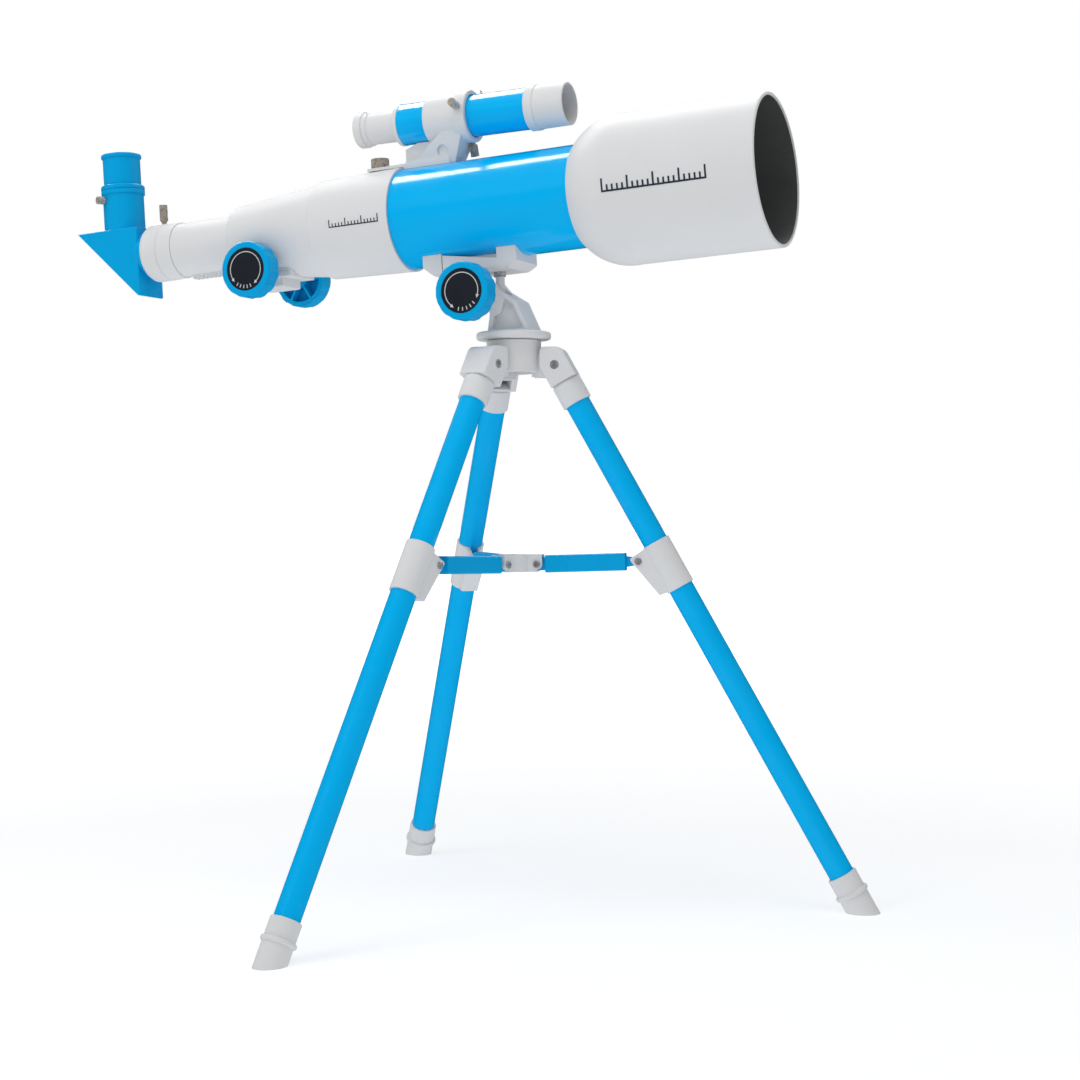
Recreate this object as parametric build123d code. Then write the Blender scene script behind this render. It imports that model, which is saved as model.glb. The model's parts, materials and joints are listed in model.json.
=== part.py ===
"""Small 60 mm refracting telescope on a folding table tripod, as separate pieces.

Millimetres. +X is the way the tube looks, +Z is up, the feet stand on z = 0.
The origin is on the floor under the middle of the whole outline.
Each export is one physical piece, or one set of identical fasteners.
"""

import os
from math import atan2, cos, degrees, hypot, pi, radians, sin, sqrt, tan

from build123d import *

# ---- tripod ----
LEG_AZIMUTHS = {"a": -105.5, "b": 134.5, "c": 14.5}  # degrees round the tripod axis
TRIPOD_AXIS = (51.5, 26.2)  # where the tripod axis stands in plan
FOOT_RADIUS = 208.0  # tripod axis to the leg axis on the floor
PIVOT_RADIUS = 26.5  # tripod axis to the leg pivots
PIVOT_HEIGHT = 330.0
LEG_ANGLE = degrees(atan2(FOOT_RADIUS - PIVOT_RADIUS, PIVOT_HEIGHT))
LEG_LENGTH = hypot(FOOT_RADIUS - PIVOT_RADIUS, PIVOT_HEIGHT)
TUBE_R = 7.65  # leg tube
TUBE_WALL = 0.9
TUBE_TOP = -20.2  # along the leg, from the pivot
FIT = 0.05  # radial gap of a push fit
KNUCKLE_HALF_WIDTH = 10.2
KNUCKLE_SHOULDER = -11.0  # along the leg, from the pivot
KNUCKLE_END = -26.2
LUG_HALF_WIDTH = 5.7
LUG_R = 7.0
PIVOT_SCREW_R = 1.6
FOOT_TOP = 26.0  # foot height along the leg

# ---- brace between the legs ----
PIN_DOWN = 128.33  # leg pivot to the outer brace pin, along the leg
PIN_IN = 14.43  # leg axis to the outer brace pin
COLLAR_TOP = 123.1  # leg pivot to the top of the brace collar
COLLAR_LENGTH = 31.0
COLLAR_R = 8.8
EAR_HALF_WIDTH = 5.6
EAR_SLOT_HALF = 2.6
BRACE_SCREW_RADIUS = 13.6  # tripod axis to the screws of the brace hub
BRACE_SCREW_HEIGHT = 209.3
BRACE_ARM_HALF_WIDTH = 5.15
LINK_HALF_HEIGHT = 5.3
LINK_HALF_WIDTH = 4.5
TONGUE_HALF_WIDTH = 2.35
BRACE_SCREW_R = 1.5

# ---- head ----
DRUM_R = 16.7
DRUM_BOTTOM = 326.0
DRUM_TOP = 345.7
BOLT_R = 3.0
BOLT_HEAD_BOTTOM = DRUM_BOTTOM + 7.0
BOLT_TOP = BOLT_HEAD_BOTTOM + 26.0
DISC_R = 22.8
DISC_BOTTOM = 346.0
DISC_TOP = 350.8
POST_HALF_WIDTH = 10.3
CHEEK_GAP_HALF = 4.2

# ---- telescope, in its own frame: x along the tube, z away from the tripod ----
TUBE_HEIGHT = 428.1  # tube axis over the floor, at the tripod axis
TUBE_TILT = 3.04  # degrees, front end up
TILT_X = -18.3  # tilt axis
TILT_Z = -53.9
SHAFT_R = 2.5  # tilt shaft
FOCUS_SHAFT_R = 2.0
NECK_X = -11.1
NECK_TOP = -42.4
CRADLE_BOTTOM = -39.6
STUD_R = 2.3
NECK_R = 2.8
MAIN_R = 31.0
MAIN_WALL = 1.4
MAIN_REAR = -84.0
MAIN_FRONT = 66.0
SHIELD_REAR = 48.7
SHIELD_SHOULDER = 80.0
SHIELD_FRONT = 168.2
SHIELD_R = 44.9
SHIELD_WALL = 2.0
CELL_REAR = 66.2
CELL_FRONT = 82.0
CELL_R = 34.4
LENS_R = 31.0
BARREL_REAR = -127.0
BARREL_FRONT = -70.0
BODY_REAR = -192.0
BODY_REAR_R = 22.4
BODY_FRONT_R = 29.7
DRAW_R = 17.6
DRAW_WALL = 1.6
DRAW_FRONT = -112.0
COLLAR_SEAM = -237.0
DRAW_END = -261.0
NOSE_R = 12.25  # 24.5 mm eyepiece standard
FOCUS_X = -167.9
FOCUS_Z = -24.2
TOOTH_MODULE = 1.0
PINION_TEETH = 10
KNOB_R = 17.6
KNOB_THICK = 11.5
KNOB_SCALLOPS = 12
KNOB_DISC_R = 13.4
FOCUS_KNOB_INNER = 27.5  # focus knobs' inner faces from the middle plane
ANGLE_KNOB_INNER = 29.5
DIAGONAL_X = -283.0  # axis of the upright eyepiece
PRISM_LEG = 25.0
DIAGONAL_HALF_WIDTH = 13.7
FINDER_Z = 58.2
FINDER_TILT = 1.28  # degrees, front end down against the main tube
FINDER_RING_BORE_R = 13.2
FINDER_R = 12.6
FINDER_WALL = 1.1
BRACKET_SCREW_X = -26.0
FINDER_SCREW_ANGLES = (48, 168, 288)  # degrees from +Y, round the finder
FOOT_SCREW_X = -89.0
PLATE_TOP = 33.9  # top of the finder foot under its knurled nut
FOOT_SCREW_R = 1.9
THUMBSCREW_R = 1.5
THUMBSCREW_HOLE_R = 1.6
LOCK_SCREW_X = DRAW_END + 9.0
EYEPIECE_SCREW_Z = 37.5
EYEPIECE_SCREW_TURN = -117.0  # degrees round the upright axis, from the front

LOW = (Align.CENTER, Align.CENTER, Align.MIN)
LEG_PLACE = Pos(PIVOT_RADIUS, 0, PIVOT_HEIGHT) * Rot(0, -LEG_ANGLE, 0)
TUBE_PLACE = Pos(0, 0, TUBE_HEIGHT) * Rot(0, -TUBE_TILT, 0)
FINDER_PLACE = Pos(BRACKET_SCREW_X, 0, FINDER_Z) * Rot(0, FINDER_TILT, 0) * Pos(-BRACKET_SCREW_X, 0, 0)
FRAME = Pos(*TRIPOD_AXIS, 0)


# ---- small helpers ----
def save(shape, name):
    """Write one piece, moved from the tripod axis to the origin."""
    export_step(FRAME * shape, f"parts/{name}.step")


def rod(start, direction, radius, length):
    """Round bar from a point along a direction."""
    return Plane(origin=start, z_dir=direction) * Cylinder(radius, length, align=LOW)


def cross_rod(x, z, radius, y0, y1):
    """Round bar parallel to Y."""
    return rod((x, y0, z), (0, 1, 0), radius, y1 - y0)


def box(x0, x1, y0, y1, z0, z1):
    """Block between limits, given in either order."""
    middle = ((x0 + x1) / 2, (y0 + y1) / 2, (z0 + z1) / 2)
    return Pos(*middle) * Box(abs(x1 - x0), abs(y1 - y0), abs(z1 - z0))


def turned(points):
    """Solid turned about the X axis from (x, radius) points."""
    return revolve(Plane.XZ * make_face(Polyline(*points, close=True)), Axis.X)


def ring(x0, x1, outer, inner):
    """Straight ring about the X axis."""
    return turned([(x0, inner), (x0, outer), (x1, outer), (x1, inner)])


def slab(face, half_width):
    """Face drawn in x and z, thickened both ways along Y."""
    return extrude(Plane.XZ * face, half_width, both=True)


def polygon(points):
    """Flat face through points."""
    return make_face(Polyline(*points, close=True))


def knurled(radius, height, ridges):
    """Upright knurled cylinder from z = 0."""
    step = pi / ridges
    points = []
    for i in range(2 * ridges):
        reach = radius - 0.25 * (i % 2)
        points.append((reach * cos(i * step), reach * sin(i * step)))
    return extrude(polygon(points), height)


def circle_edges(shape, x, radius):
    """Round edges about the X axis at one station."""
    found = []
    for edge in shape.edges().filter_by(GeomType.CIRCLE):
        if abs(edge.center().X - x) < 0.01 and abs(edge.radius - radius) < 0.01:
            found.append(edge)
    return found


def screw_with_heads(y_head, shank_r, head_r, head_height):
    """Cross screw along Y through x = z = 0 with a head on both ends."""
    shape = cross_rod(0, 0, shank_r, -y_head, y_head)
    for side in (-1, 1):
        head = rod((0, side * y_head, 0), (0, side, 0), head_r, head_height)
        socket = rod((0, side * (y_head + head_height), 0), (0, -side, 0), 0.5 * head_r, 0.6)
        shape = shape + head - socket
    return shape


# ---- tripod ----
def round_the_tripod(radius, height):
    """A frame towards each leg, at one distance from the tripod axis."""
    return [Rot(0, 0, azimuth) * Pos(radius, 0, height) for azimuth in LEG_AZIMUTHS.values()]


def tripod_hub():
    """Drum with three lugs for the legs and a pocket below for the azimuth bolt."""
    drum = Pos(0, 0, DRUM_BOTTOM) * Cylinder(DRUM_R, DRUM_TOP - DRUM_BOTTOM, align=LOW)
    drum = fillet(drum.edges().filter_by(GeomType.CIRCLE), 0.8)
    arm = Pos(PIVOT_RADIUS / 2, 0) * Rectangle(PIVOT_RADIUS, 2 * LUG_R)
    lug = slab(arm + Pos(PIVOT_RADIUS, 0) * Circle(LUG_R), LUG_HALF_WIDTH)
    hole = cross_rod(PIVOT_RADIUS, 0, PIVOT_SCREW_R + FIT, -LUG_HALF_WIDTH - 1, LUG_HALF_WIDTH + 1)
    hub = drum
    for azimuth in LEG_AZIMUTHS.values():
        hub = hub + Rot(0, 0, azimuth) * Pos(0, 0, PIVOT_HEIGHT) * (lug - hole)
    pocket = Pos(0, 0, DRUM_BOTTOM - 5) * Cylinder(13.2, 16.0, align=LOW)
    bolt_hole = Pos(0, 0, DRUM_BOTTOM) * Cylinder(BOLT_R + FIT, 30, align=LOW)
    return hub - pocket - bolt_hole


def leg_pivot_screws():
    """Three cross screws, their heads sunk in the knuckles."""
    screw = screw_with_heads(KNUCKLE_HALF_WIDTH - 1.7, PIVOT_SCREW_R, 2.6, 1.3)
    return Compound([place * screw for place in round_the_tripod(PIVOT_RADIUS, PIVOT_HEIGHT)])


def azimuth_bolt():
    """Hexagon bolt that clamps the head post to the hub."""
    head = extrude(RegularPolygon(5.5, 6), 3.9)
    shank = Cylinder(BOLT_R, BOLT_TOP - BOLT_HEAD_BOTTOM, align=LOW)
    return Pos(0, 0, BOLT_HEAD_BOTTOM) * (head + shank)


def knuckle():
    """Fork at the top of a leg, with a socket for the leg tube."""
    half = 8.6
    lean = radians(LEG_ANGLE)
    top = 11.0  # height of the flat top over the pivot
    inside = 9.3  # pivot to the upright inner face
    outer_corner = (half, (top - half * sin(lean)) / cos(lean))
    top_corner = (-inside * cos(lean) + top * sin(lean), inside * sin(lean) + top * cos(lean))
    inner_corner = (-half, (inside - half * cos(lean)) / sin(lean))
    shoulder = KNUCKLE_SHOULDER
    face = polygon([(half, shoulder), outer_corner, top_corner, inner_corner, (-half, shoulder)])
    corners = face.vertices().sort_by(Axis.Y)
    face = fillet(corners[-1], 3.0)
    corners = face.vertices().sort_by_distance(outer_corner)
    face = fillet(corners[0], 5.5)
    block = slab(face, KNUCKLE_HALF_WIDTH)
    cheek_edges = [e for e in block.edges() if abs(abs(e.center().Y) - KNUCKLE_HALF_WIDTH) < 0.01]
    block = fillet([e for e in cheek_edges if e.center().Z > shoulder + 0.5], 1.0)
    neck = Pos(0, 0, shoulder - 0.8) * Cylinder(8.1, 1.4, align=LOW)
    collar = Pos(0, 0, KNUCKLE_END) * Cylinder(9.2, shoulder - 0.8 - KNUCKLE_END, align=LOW)
    collar = fillet(collar.edges().filter_by(GeomType.CIRCLE), 0.7)
    plug = Pos(0, 0, -45) * Cylinder(TUBE_R - TUBE_WALL - FIT, 28, align=LOW)
    socket = Pos(0, 0, KNUCKLE_END - 1) * Cylinder(TUBE_R + FIT, TUBE_TOP + 0.2 - KNUCKLE_END + 1, align=LOW)
    shape = block + neck + (collar - socket) + plug
    shape = shape - box(-20, LUG_R + 0.3, -LUG_HALF_WIDTH - 0.3, LUG_HALF_WIDTH + 0.3, -9.5, 20)
    shape = shape - cross_rod(0, 0, PIVOT_SCREW_R + FIT, -15, 15)
    for side in (-1, 1):
        shape = shape - rod((0, side * 15, 0), (0, -side, 0), 2.7, 15 - KNUCKLE_HALF_WIDTH + 1.8)
    return shape


def leg_tube():
    """Straight tube from the knuckle into the foot."""
    length = LEG_LENGTH - 12.0 + TUBE_TOP
    tube = Cylinder(TUBE_R, length, align=LOW) - Cylinder(TUBE_R - TUBE_WALL, length, align=LOW)
    return Pos(0, 0, TUBE_TOP - length) * tube


def brace_collar():
    """Sleeve round the leg with two ears for a brace link, slotted between them."""
    bottom = -COLLAR_TOP - COLLAR_LENGTH
    sleeve = Pos(0, 0, bottom) * Cylinder(COLLAR_R, COLLAR_LENGTH, align=LOW)
    tip = (-PIN_IN - 4.4, -PIN_DOWN + 3.9)
    face = polygon([(0, -COLLAR_TOP), tip, (-13.2, bottom + 1.6), (0, bottom)])
    face = fillet(face.vertices().sort_by(Axis.X)[0], 1.6)
    wedge = slab(face, EAR_HALF_WIDTH)
    inner_edges = [e for e in wedge.edges() if e.center().X < -14 and abs(e.center().Y) > 5]
    wedge = fillet(inner_edges, 1.4)
    shape = sleeve + wedge
    shape = shape - Pos(0, 0, bottom - 1) * Cylinder(TUBE_R + FIT, COLLAR_LENGTH + 2, align=LOW)
    shape = shape - box(-25, 0, -EAR_SLOT_HALF, EAR_SLOT_HALF, -PIN_DOWN - 7.5, -COLLAR_TOP + 1)
    return shape - cross_rod(-PIN_IN, -PIN_DOWN, BRACE_SCREW_R + FIT, -10, 10)


def ear_screws():
    """Two short screws, one in each ear."""
    screws = []
    for side in (-1, 1):
        start = (-PIN_IN, side * (EAR_SLOT_HALF + 0.1), -PIN_DOWN)
        shank = rod(start, (0, side, 0), BRACE_SCREW_R, EAR_HALF_WIDTH - EAR_SLOT_HALF)
        seat = (-PIN_IN, side * (EAR_HALF_WIDTH + 0.05), -PIN_DOWN)
        head = rod(seat, (0, side, 0), 2.2, 1.0)
        head = fillet(head.edges().sort_by_distance((-PIN_IN, side * 20, -PIN_DOWN))[0], 0.5)
        screws.append(shank + head)
    return Compound(screws)


def foot():
    """Ringed sleeve round the leg end, cut level with the floor. Leg-plane frame."""
    low = -LEG_LENGTH - 8
    top = -LEG_LENGTH + FOOT_TOP
    sleeve = Pos(0, 0, low) * Cylinder(9.0, top - low, align=LOW)
    sleeve = fillet(sleeve.edges().sort_by(Axis.Z)[-1], 0.6)
    band = Pos(0, 0, -LEG_LENGTH + 12.0) * Cylinder(10.3, 3.0, align=LOW)
    band = fillet(band.edges().filter_by(GeomType.CIRCLE), 1.2)
    tube_end = -LEG_LENGTH + 12.0 - 0.2
    bore = Pos(0, 0, tube_end) * Cylinder(TUBE_R + FIT, 40, align=LOW)
    placed = LEG_PLACE * (sleeve + band - bore)
    return placed - box(0, 300, -50, 50, -40, 0)


# ---- brace ----
def brace_hub():
    """Three forked arms under one top plate."""
    centre = Pos(0, 0, BRACE_SCREW_HEIGHT)
    plan = Circle(9.6)
    for azimuth in LEG_AZIMUTHS.values():
        reach = BRACE_SCREW_RADIUS + 3.2
        plan = plan + Rot(0, 0, azimuth) * Pos(reach / 2, 0) * Rectangle(reach, 2 * BRACE_ARM_HALF_WIDTH)
    hub = Pos(0, 0, -4.7) * extrude(plan, 10.6)
    for azimuth in LEG_AZIMUTHS.values():
        turn = Rot(0, 0, azimuth)
        slot = box(8.9, 30, -EAR_SLOT_HALF, EAR_SLOT_HALF, -6, 4.5)
        hole = cross_rod(BRACE_SCREW_RADIUS, 0, BRACE_SCREW_R + FIT, -8, 8)
        corner = box(BRACE_SCREW_RADIUS, 30, -9, 9, -6, 0)
        corner = corner - cross_rod(BRACE_SCREW_RADIUS, 0, 3.2, -9, 9)
        corner = corner - box(0, BRACE_SCREW_RADIUS + 0.2, -9, 9, -9, 0)
        hub = hub - turn * slot - turn * hole - turn * corner
    return centre * hub


def brace_hub_screws():
    """Three cross screws in the arms of the brace hub."""
    screw = screw_with_heads(BRACE_ARM_HALF_WIDTH + 0.05, BRACE_SCREW_R, 2.2, 1.0)
    places = round_the_tripod(BRACE_SCREW_RADIUS, BRACE_SCREW_HEIGHT)
    return Compound([place * screw for place in places])


def outer_pin():
    """Outer brace pin in the leg plane: distance from the tripod axis, and height."""
    lean = radians(LEG_ANGLE)
    radius = PIVOT_RADIUS + PIN_DOWN * sin(lean) - PIN_IN * cos(lean)
    height = PIVOT_HEIGHT - PIN_DOWN * cos(lean) - PIN_IN * sin(lean)
    return radius, height


def brace_link():
    """Bar with a narrow tongue at each end, in the leg plane."""
    far, high = outer_pin()
    length = hypot(far - BRACE_SCREW_RADIUS, high - BRACE_SCREW_HEIGHT)
    slope = degrees(atan2(high - BRACE_SCREW_HEIGHT, far - BRACE_SCREW_RADIUS))
    bar_start = 5.0
    bar_end = length - 8.0
    bar = box(bar_start, bar_end, -LINK_HALF_WIDTH, LINK_HALF_WIDTH, -LINK_HALF_HEIGHT, LINK_HALF_HEIGHT)
    bar = fillet(bar.edges().filter_by(Axis.X), 1.2)
    inner = slab(Circle(3.9) + Pos(4, 0) * Rectangle(8, 7.8), TONGUE_HALF_WIDTH)
    root = 3.4
    taper = polygon([(bar_end - 1, root), (length, 2.25), (length, -2.25), (bar_end - 1, -root)])
    outer = slab(taper + Pos(length, 0) * Circle(2.25), TONGUE_HALF_WIDTH)
    link = bar + inner + outer
    link = link - cross_rod(0, 0, BRACE_SCREW_R + FIT, -5, 5)
    link = link - cross_rod(length, 0, 1.1, -5, 5)
    return Pos(BRACE_SCREW_RADIUS, 0, BRACE_SCREW_HEIGHT) * Rot(0, -slope, 0) * link


# ---- head ----
def tilt_axis():
    """Tilt axis seen from the tripod axis: x and height."""
    lean = radians(TUBE_TILT)
    axis_x = TILT_X * cos(lean) - TILT_Z * sin(lean)
    return axis_x, TUBE_HEIGHT + TILT_X * sin(lean) + TILT_Z * cos(lean)


def head_post():
    """Turning disc with a two-cheeked post that carries the tilt shaft."""
    axis_x, axis_z = tilt_axis()
    disc = Pos(0, 0, DISC_BOTTOM) * Cylinder(DISC_R, DISC_TOP - DISC_BOTTOM, align=LOW)
    disc = fillet(disc.edges().filter_by(GeomType.CIRCLE), 1.7)
    outline = [(-13.2, DISC_TOP - 1), (15.2, DISC_TOP - 1), (6.0, 369.4), (-5.5, 376.4)]
    outline += [(-9.5, 381.0), (-14.0, 381.6), (-14.6, 368.0), (-11.4, 362.0)]
    face = polygon(outline) + Pos(axis_x, axis_z) * Circle(8.8)
    post = slab(face, POST_HALF_WIDTH)
    side = [e for e in post.edges() if abs(abs(e.center().Y) - POST_HALF_WIDTH) < 0.01]
    post = fillet([e for e in side if e.center().Z > DISC_TOP], 0.8)
    panel = [(-9.6, 352.4), (11.2, 352.4), (4.0, 367.4), (-1.6, 370.8), (-4.0, 362.0), (-8.4, 360.0)]
    panel = polygon(panel)
    panel = fillet(panel.vertices(), 1.0)
    panel_depth = 3.0
    for front in (POST_HALF_WIDTH, -POST_HALF_WIDTH + panel_depth):
        post = post - Pos(0, front, 0) * extrude(Plane.XZ * panel, panel_depth)
    boss_r = 6.4
    boss = cross_rod(axis_x, axis_z, boss_r, -ANGLE_KNOB_INNER + 0.4, -POST_HALF_WIDTH + 1)
    shape = disc + post + boss
    swing = polygon([(-14, 0), (10.4, -6.4), (34, 34), (-14, 34)])
    gap = slab(swing + Circle(10.4), CHEEK_GAP_HALF)
    shape = shape - Pos(axis_x, 0, axis_z) * gap
    shape = shape - cross_rod(axis_x, axis_z, SHAFT_R + FIT, -40, 20)
    bolt_hole_top = BOLT_TOP + 0.6
    bolt_hole = Cylinder(BOLT_R + FIT, bolt_hole_top - DISC_BOTTOM + 1, align=LOW)
    return shape - Pos(0, 0, DISC_BOTTOM - 1) * bolt_hole


def tilt_shaft():
    """Shaft through the post and the neck; the angle knob turns on its near end."""
    axis_x, axis_z = tilt_axis()
    shaft = cross_rod(axis_x, axis_z, SHAFT_R, -ANGLE_KNOB_INNER - 6.5, POST_HALF_WIDTH + 0.2)
    head = cross_rod(axis_x, axis_z, 4.6, POST_HALF_WIDTH + 0.1, POST_HALF_WIDTH + 2.6)
    head = fillet(head.edges().sort_by(Axis.Y)[-1], 0.8)
    slot = box(-5, 5, POST_HALF_WIDTH + 1.8, POST_HALF_WIDTH + 3, -0.5, 0.5)
    return shaft + head - Pos(axis_x, 0, axis_z) * slot


def knob(inner_face, side):
    """Scalloped knob facing along Y, hollow and ribbed behind, at x = z = 0."""
    blank = Cylinder(KNOB_R, KNOB_THICK, align=LOW)
    blank = fillet(blank.edges().sort_by(Axis.Z)[-1], 1.6)
    scallop = Pos(KNOB_R + 11.5, 0, -1) * Cylinder(12.0, KNOB_THICK + 2, align=LOW)
    for i in range(KNOB_SCALLOPS):
        blank = blank - Rot(0, 0, 360 * i / KNOB_SCALLOPS) * scallop
    blank = blank - Pos(0, 0, KNOB_THICK - 0.9) * Cylinder(KNOB_DISC_R + 0.1, 2, align=LOW)
    hollow = Pos(0, 0, -0.1) * Cylinder(14.4, 7.6, align=LOW)
    keep = Cylinder(4.6, 7.5, align=LOW)
    for i in range(6):
        keep = keep + Rot(0, 0, 60 * i) * Pos(7.5, 0, 0) * Box(15, 1.4, 7.5, align=LOW)
    blank = blank - (hollow - keep)
    return Plane(origin=(0, side * inner_face, 0), z_dir=(0, side, 0), x_dir=(1, 0, 0)) * blank


def knob_disc(inner_face, side):
    """Thin cover disc in the face of a knob."""
    seat = inner_face + KNOB_THICK - 0.9
    return rod((0, side * seat, 0), (0, side, 0), KNOB_DISC_R, 0.8)


def angle_knob():
    """Knob that turns on the near end of the tilt shaft."""
    axis_x, axis_z = tilt_axis()
    bore = cross_rod(0, 0, SHAFT_R + FIT, -ANGLE_KNOB_INNER - 6.7, -ANGLE_KNOB_INNER + 1)
    return Pos(axis_x, 0, axis_z) * (knob(ANGLE_KNOB_INNER, -1) - bore)


def angle_knob_disc():
    """Dark cover disc of the angle knob."""
    axis_x, axis_z = tilt_axis()
    return Pos(axis_x, 0, axis_z) * knob_disc(ANGLE_KNOB_INNER, -1)


# ---- telescope ----
def tilt_neck():
    """Eye on the tilt shaft with a short neck and a threaded stud."""
    eye = cross_rod(TILT_X, TILT_Z, 8.0, -CHEEK_GAP_HALF + 0.2, CHEEK_GAP_HALF - 0.2)
    neck = Pos(NECK_X, 0, TILT_Z) * Cylinder(NECK_R, NECK_TOP - TILT_Z, align=LOW)
    stud = Pos(NECK_X, 0, NECK_TOP - 1) * Cylinder(STUD_R, 11.0, align=LOW)
    bore = cross_rod(TILT_X, TILT_Z, SHAFT_R + FIT, -9, 9)
    return eye + neck + stud - bore


def neck_nut():
    """Lock nut between the neck and the cradle."""
    nut = extrude(RegularPolygon(4.1, 6), CRADLE_BOTTOM - NECK_TOP - 0.2)
    nut = nut - Pos(0, 0, -1) * Cylinder(STUD_R + FIT, 9, align=LOW)
    return Pos(NECK_X, 0, NECK_TOP + 0.1) * nut


def cradle():
    """Saddle under the main tube, stepped in three lengths."""
    rear, seam, step, front = -55.6, -41.6, -5.3, 7.6
    half_width = 16.2
    profile = [(rear, -20), (rear, -33.4), (rear + 7.5, CRADLE_BOTTOM)]
    profile += [(front - 6.5, CRADLE_BOTTOM), (front, -35.6), (front, -20)]
    block = slab(polygon(profile), half_width)
    corners = block.edges().filter_by(Axis.Z)
    block = fillet(corners, 1.5)
    lower = [e for e in block.edges().filter_by(Axis.X) if e.center().Z < CRADLE_BOTTOM + 0.1]
    block = fillet(lower, 2.4)
    sunk = [(seam, -27.6), (step, -33.0), (step, -15.0), (seam, -15.0)]
    for side in (-1, 1):
        window = Pos(0, side * (half_width + 4.0), 0) * slab(polygon(sunk), 10.0)
        groove = box(seam - 0.7, seam, side * (half_width - 1.2), side * 20, -45, -20)
        block = block - window - groove
    block = block - ring(rear - 5, front + 5, MAIN_R + FIT, 0)
    bore_depth = 9.0
    return block - Pos(NECK_X, 0, CRADLE_BOTTOM - 1) * Cylinder(STUD_R + FIT, bore_depth, align=LOW)


def main_tube():
    """Plain tube between the rear barrel and the dew shield."""
    return ring(MAIN_REAR, MAIN_FRONT, MAIN_R, MAIN_R - MAIN_WALL)


def dew_shield():
    """Wide front hood with a domed rear, over the objective cell."""
    middle = (SHIELD_REAR + SHIELD_SHOULDER) / 2 - 3
    half_length = 50.0
    bulge = (SHIELD_R - 0.2) * sqrt(1 - ((SHIELD_SHOULDER - middle) / half_length) ** 2)
    dome = ThreePointArc((SHIELD_REAR, MAIN_R + 0.6), (middle, bulge), (SHIELD_SHOULDER, SHIELD_R - 0.2))
    inner = SHIELD_R - SHIELD_WALL
    rest = Polyline(
        dome @ 1,
        (SHIELD_FRONT, SHIELD_R),
        (SHIELD_FRONT, inner),
        (SHIELD_SHOULDER + 4.0, inner),
        (SHIELD_SHOULDER + 4.0, CELL_R + FIT),
        (CELL_REAR - 0.1, CELL_R + FIT),
        (CELL_REAR - 0.1, MAIN_R + FIT),
        (SHIELD_REAR, MAIN_R + FIT),
        dome @ 0,
    )
    shell = revolve(Plane.XZ * make_face(dome + rest), Axis.X)
    return fillet(circle_edges(shell, SHIELD_FRONT, SHIELD_R), 0.9)


def objective_cell():
    """Ring that holds the two objective lenses."""
    return turned([
        (CELL_REAR, 29.0), (CELL_REAR, CELL_R), (CELL_FRONT, CELL_R), (CELL_FRONT, 30.0),
        (CELL_FRONT - 1.6, 30.0), (CELL_FRONT - 1.6, LENS_R + FIT), (CELL_REAR + 2.0, LENS_R + FIT),
        (CELL_REAR + 2.0, 29.0)])


def lens_face(x, bulge, edge_r):
    """Outline of one lens face from its middle to its edge, flat when the bulge is 0."""
    if bulge == 0:
        return Line((x, 0), (x, edge_r))
    return ThreePointArc((x + bulge, 0), (x + 0.75 * bulge, edge_r / 2), (x, edge_r))


def lens(rear, front, edge_r, rear_bulge, front_bulge):
    """Round lens about X; a bulge is positive where the face swells outwards."""
    back = lens_face(rear, -rear_bulge, edge_r)
    face = lens_face(front, front_bulge, edge_r)
    rim = Line((rear, edge_r), (front, edge_r))
    axis = Line(back @ 0, face @ 0)
    return revolve(Plane.XZ * make_face([back, rim, face, axis]), Axis.X)


def objective_lenses():
    """Crown in front, flint behind, with a thin air gap."""
    seat = CELL_REAR + 2.1
    flint = lens(seat, seat + 5.0, LENS_R, 0.25, -2.2)
    crown = lens(seat + 5.3, seat + 8.6, LENS_R, 2.1, 2.2)
    return Compound([flint, crown])


def rear_barrel():
    """Ring at the rear of the main tube that takes the focuser body."""
    shape = turned([
        (BARREL_REAR, 27.5), (BARREL_REAR, 31.1), (BARREL_FRONT, 32.5), (BARREL_FRONT, MAIN_R + FIT),
        (MAIN_REAR - 0.2, MAIN_R + FIT), (MAIN_REAR - 0.2, 29.0), (-110.0, 27.5)])
    shape = fillet(circle_edges(shape, BARREL_REAR, 31.1), 0.5)
    return shape - Pos(FOOT_SCREW_X, 0, 20) * Cylinder(FOOT_SCREW_R + FIT, 20, align=LOW)


def pinion_pocket():
    """Room for the pinion, shared by the housing and its cover."""
    return cross_rod(FOCUS_X, FOCUS_Z, 6.3, -5.2, 5.2)


def focuser_body():
    """Tapered housing that guides the drawtube and carries the focus shaft."""
    guide = DRAW_R + 0.1
    outside = [(BODY_REAR, guide), (BODY_REAR, BODY_REAR_R), (BARREL_REAR - 0.1, BODY_FRONT_R)]
    spigot = [(BARREL_REAR - 0.1, 27.4), (-114.0, 27.4), (-114.0, 25.0)]
    inside = [(BARREL_REAR - 2, 25.0), (-176.0, 20.6), (-178.0, guide)]
    shell = turned(outside + spigot + inside)
    shell = fillet(circle_edges(shell, BODY_REAR, BODY_REAR_R), 1.8)
    saddle = box(FOCUS_X - 18, FOCUS_X + 19, -15, 15, FOCUS_Z + 0.05, -19.0)
    saddle = fillet(saddle.edges().filter_by(Axis.Z), 2.0)
    shape = shell + (saddle - ring(BODY_REAR, BARREL_REAR, 20.6, 0))
    shape = shape - cross_rod(FOCUS_X, FOCUS_Z, FOCUS_SHAFT_R + 0.1, -30, 30)
    channel = box(BODY_REAR - 1, -110, -3.9, 3.9, -22.6, 0)
    bore = ring(BODY_REAR - 1, -110, guide, 0)
    return shape - pinion_pocket() - (channel - bore)


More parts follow.
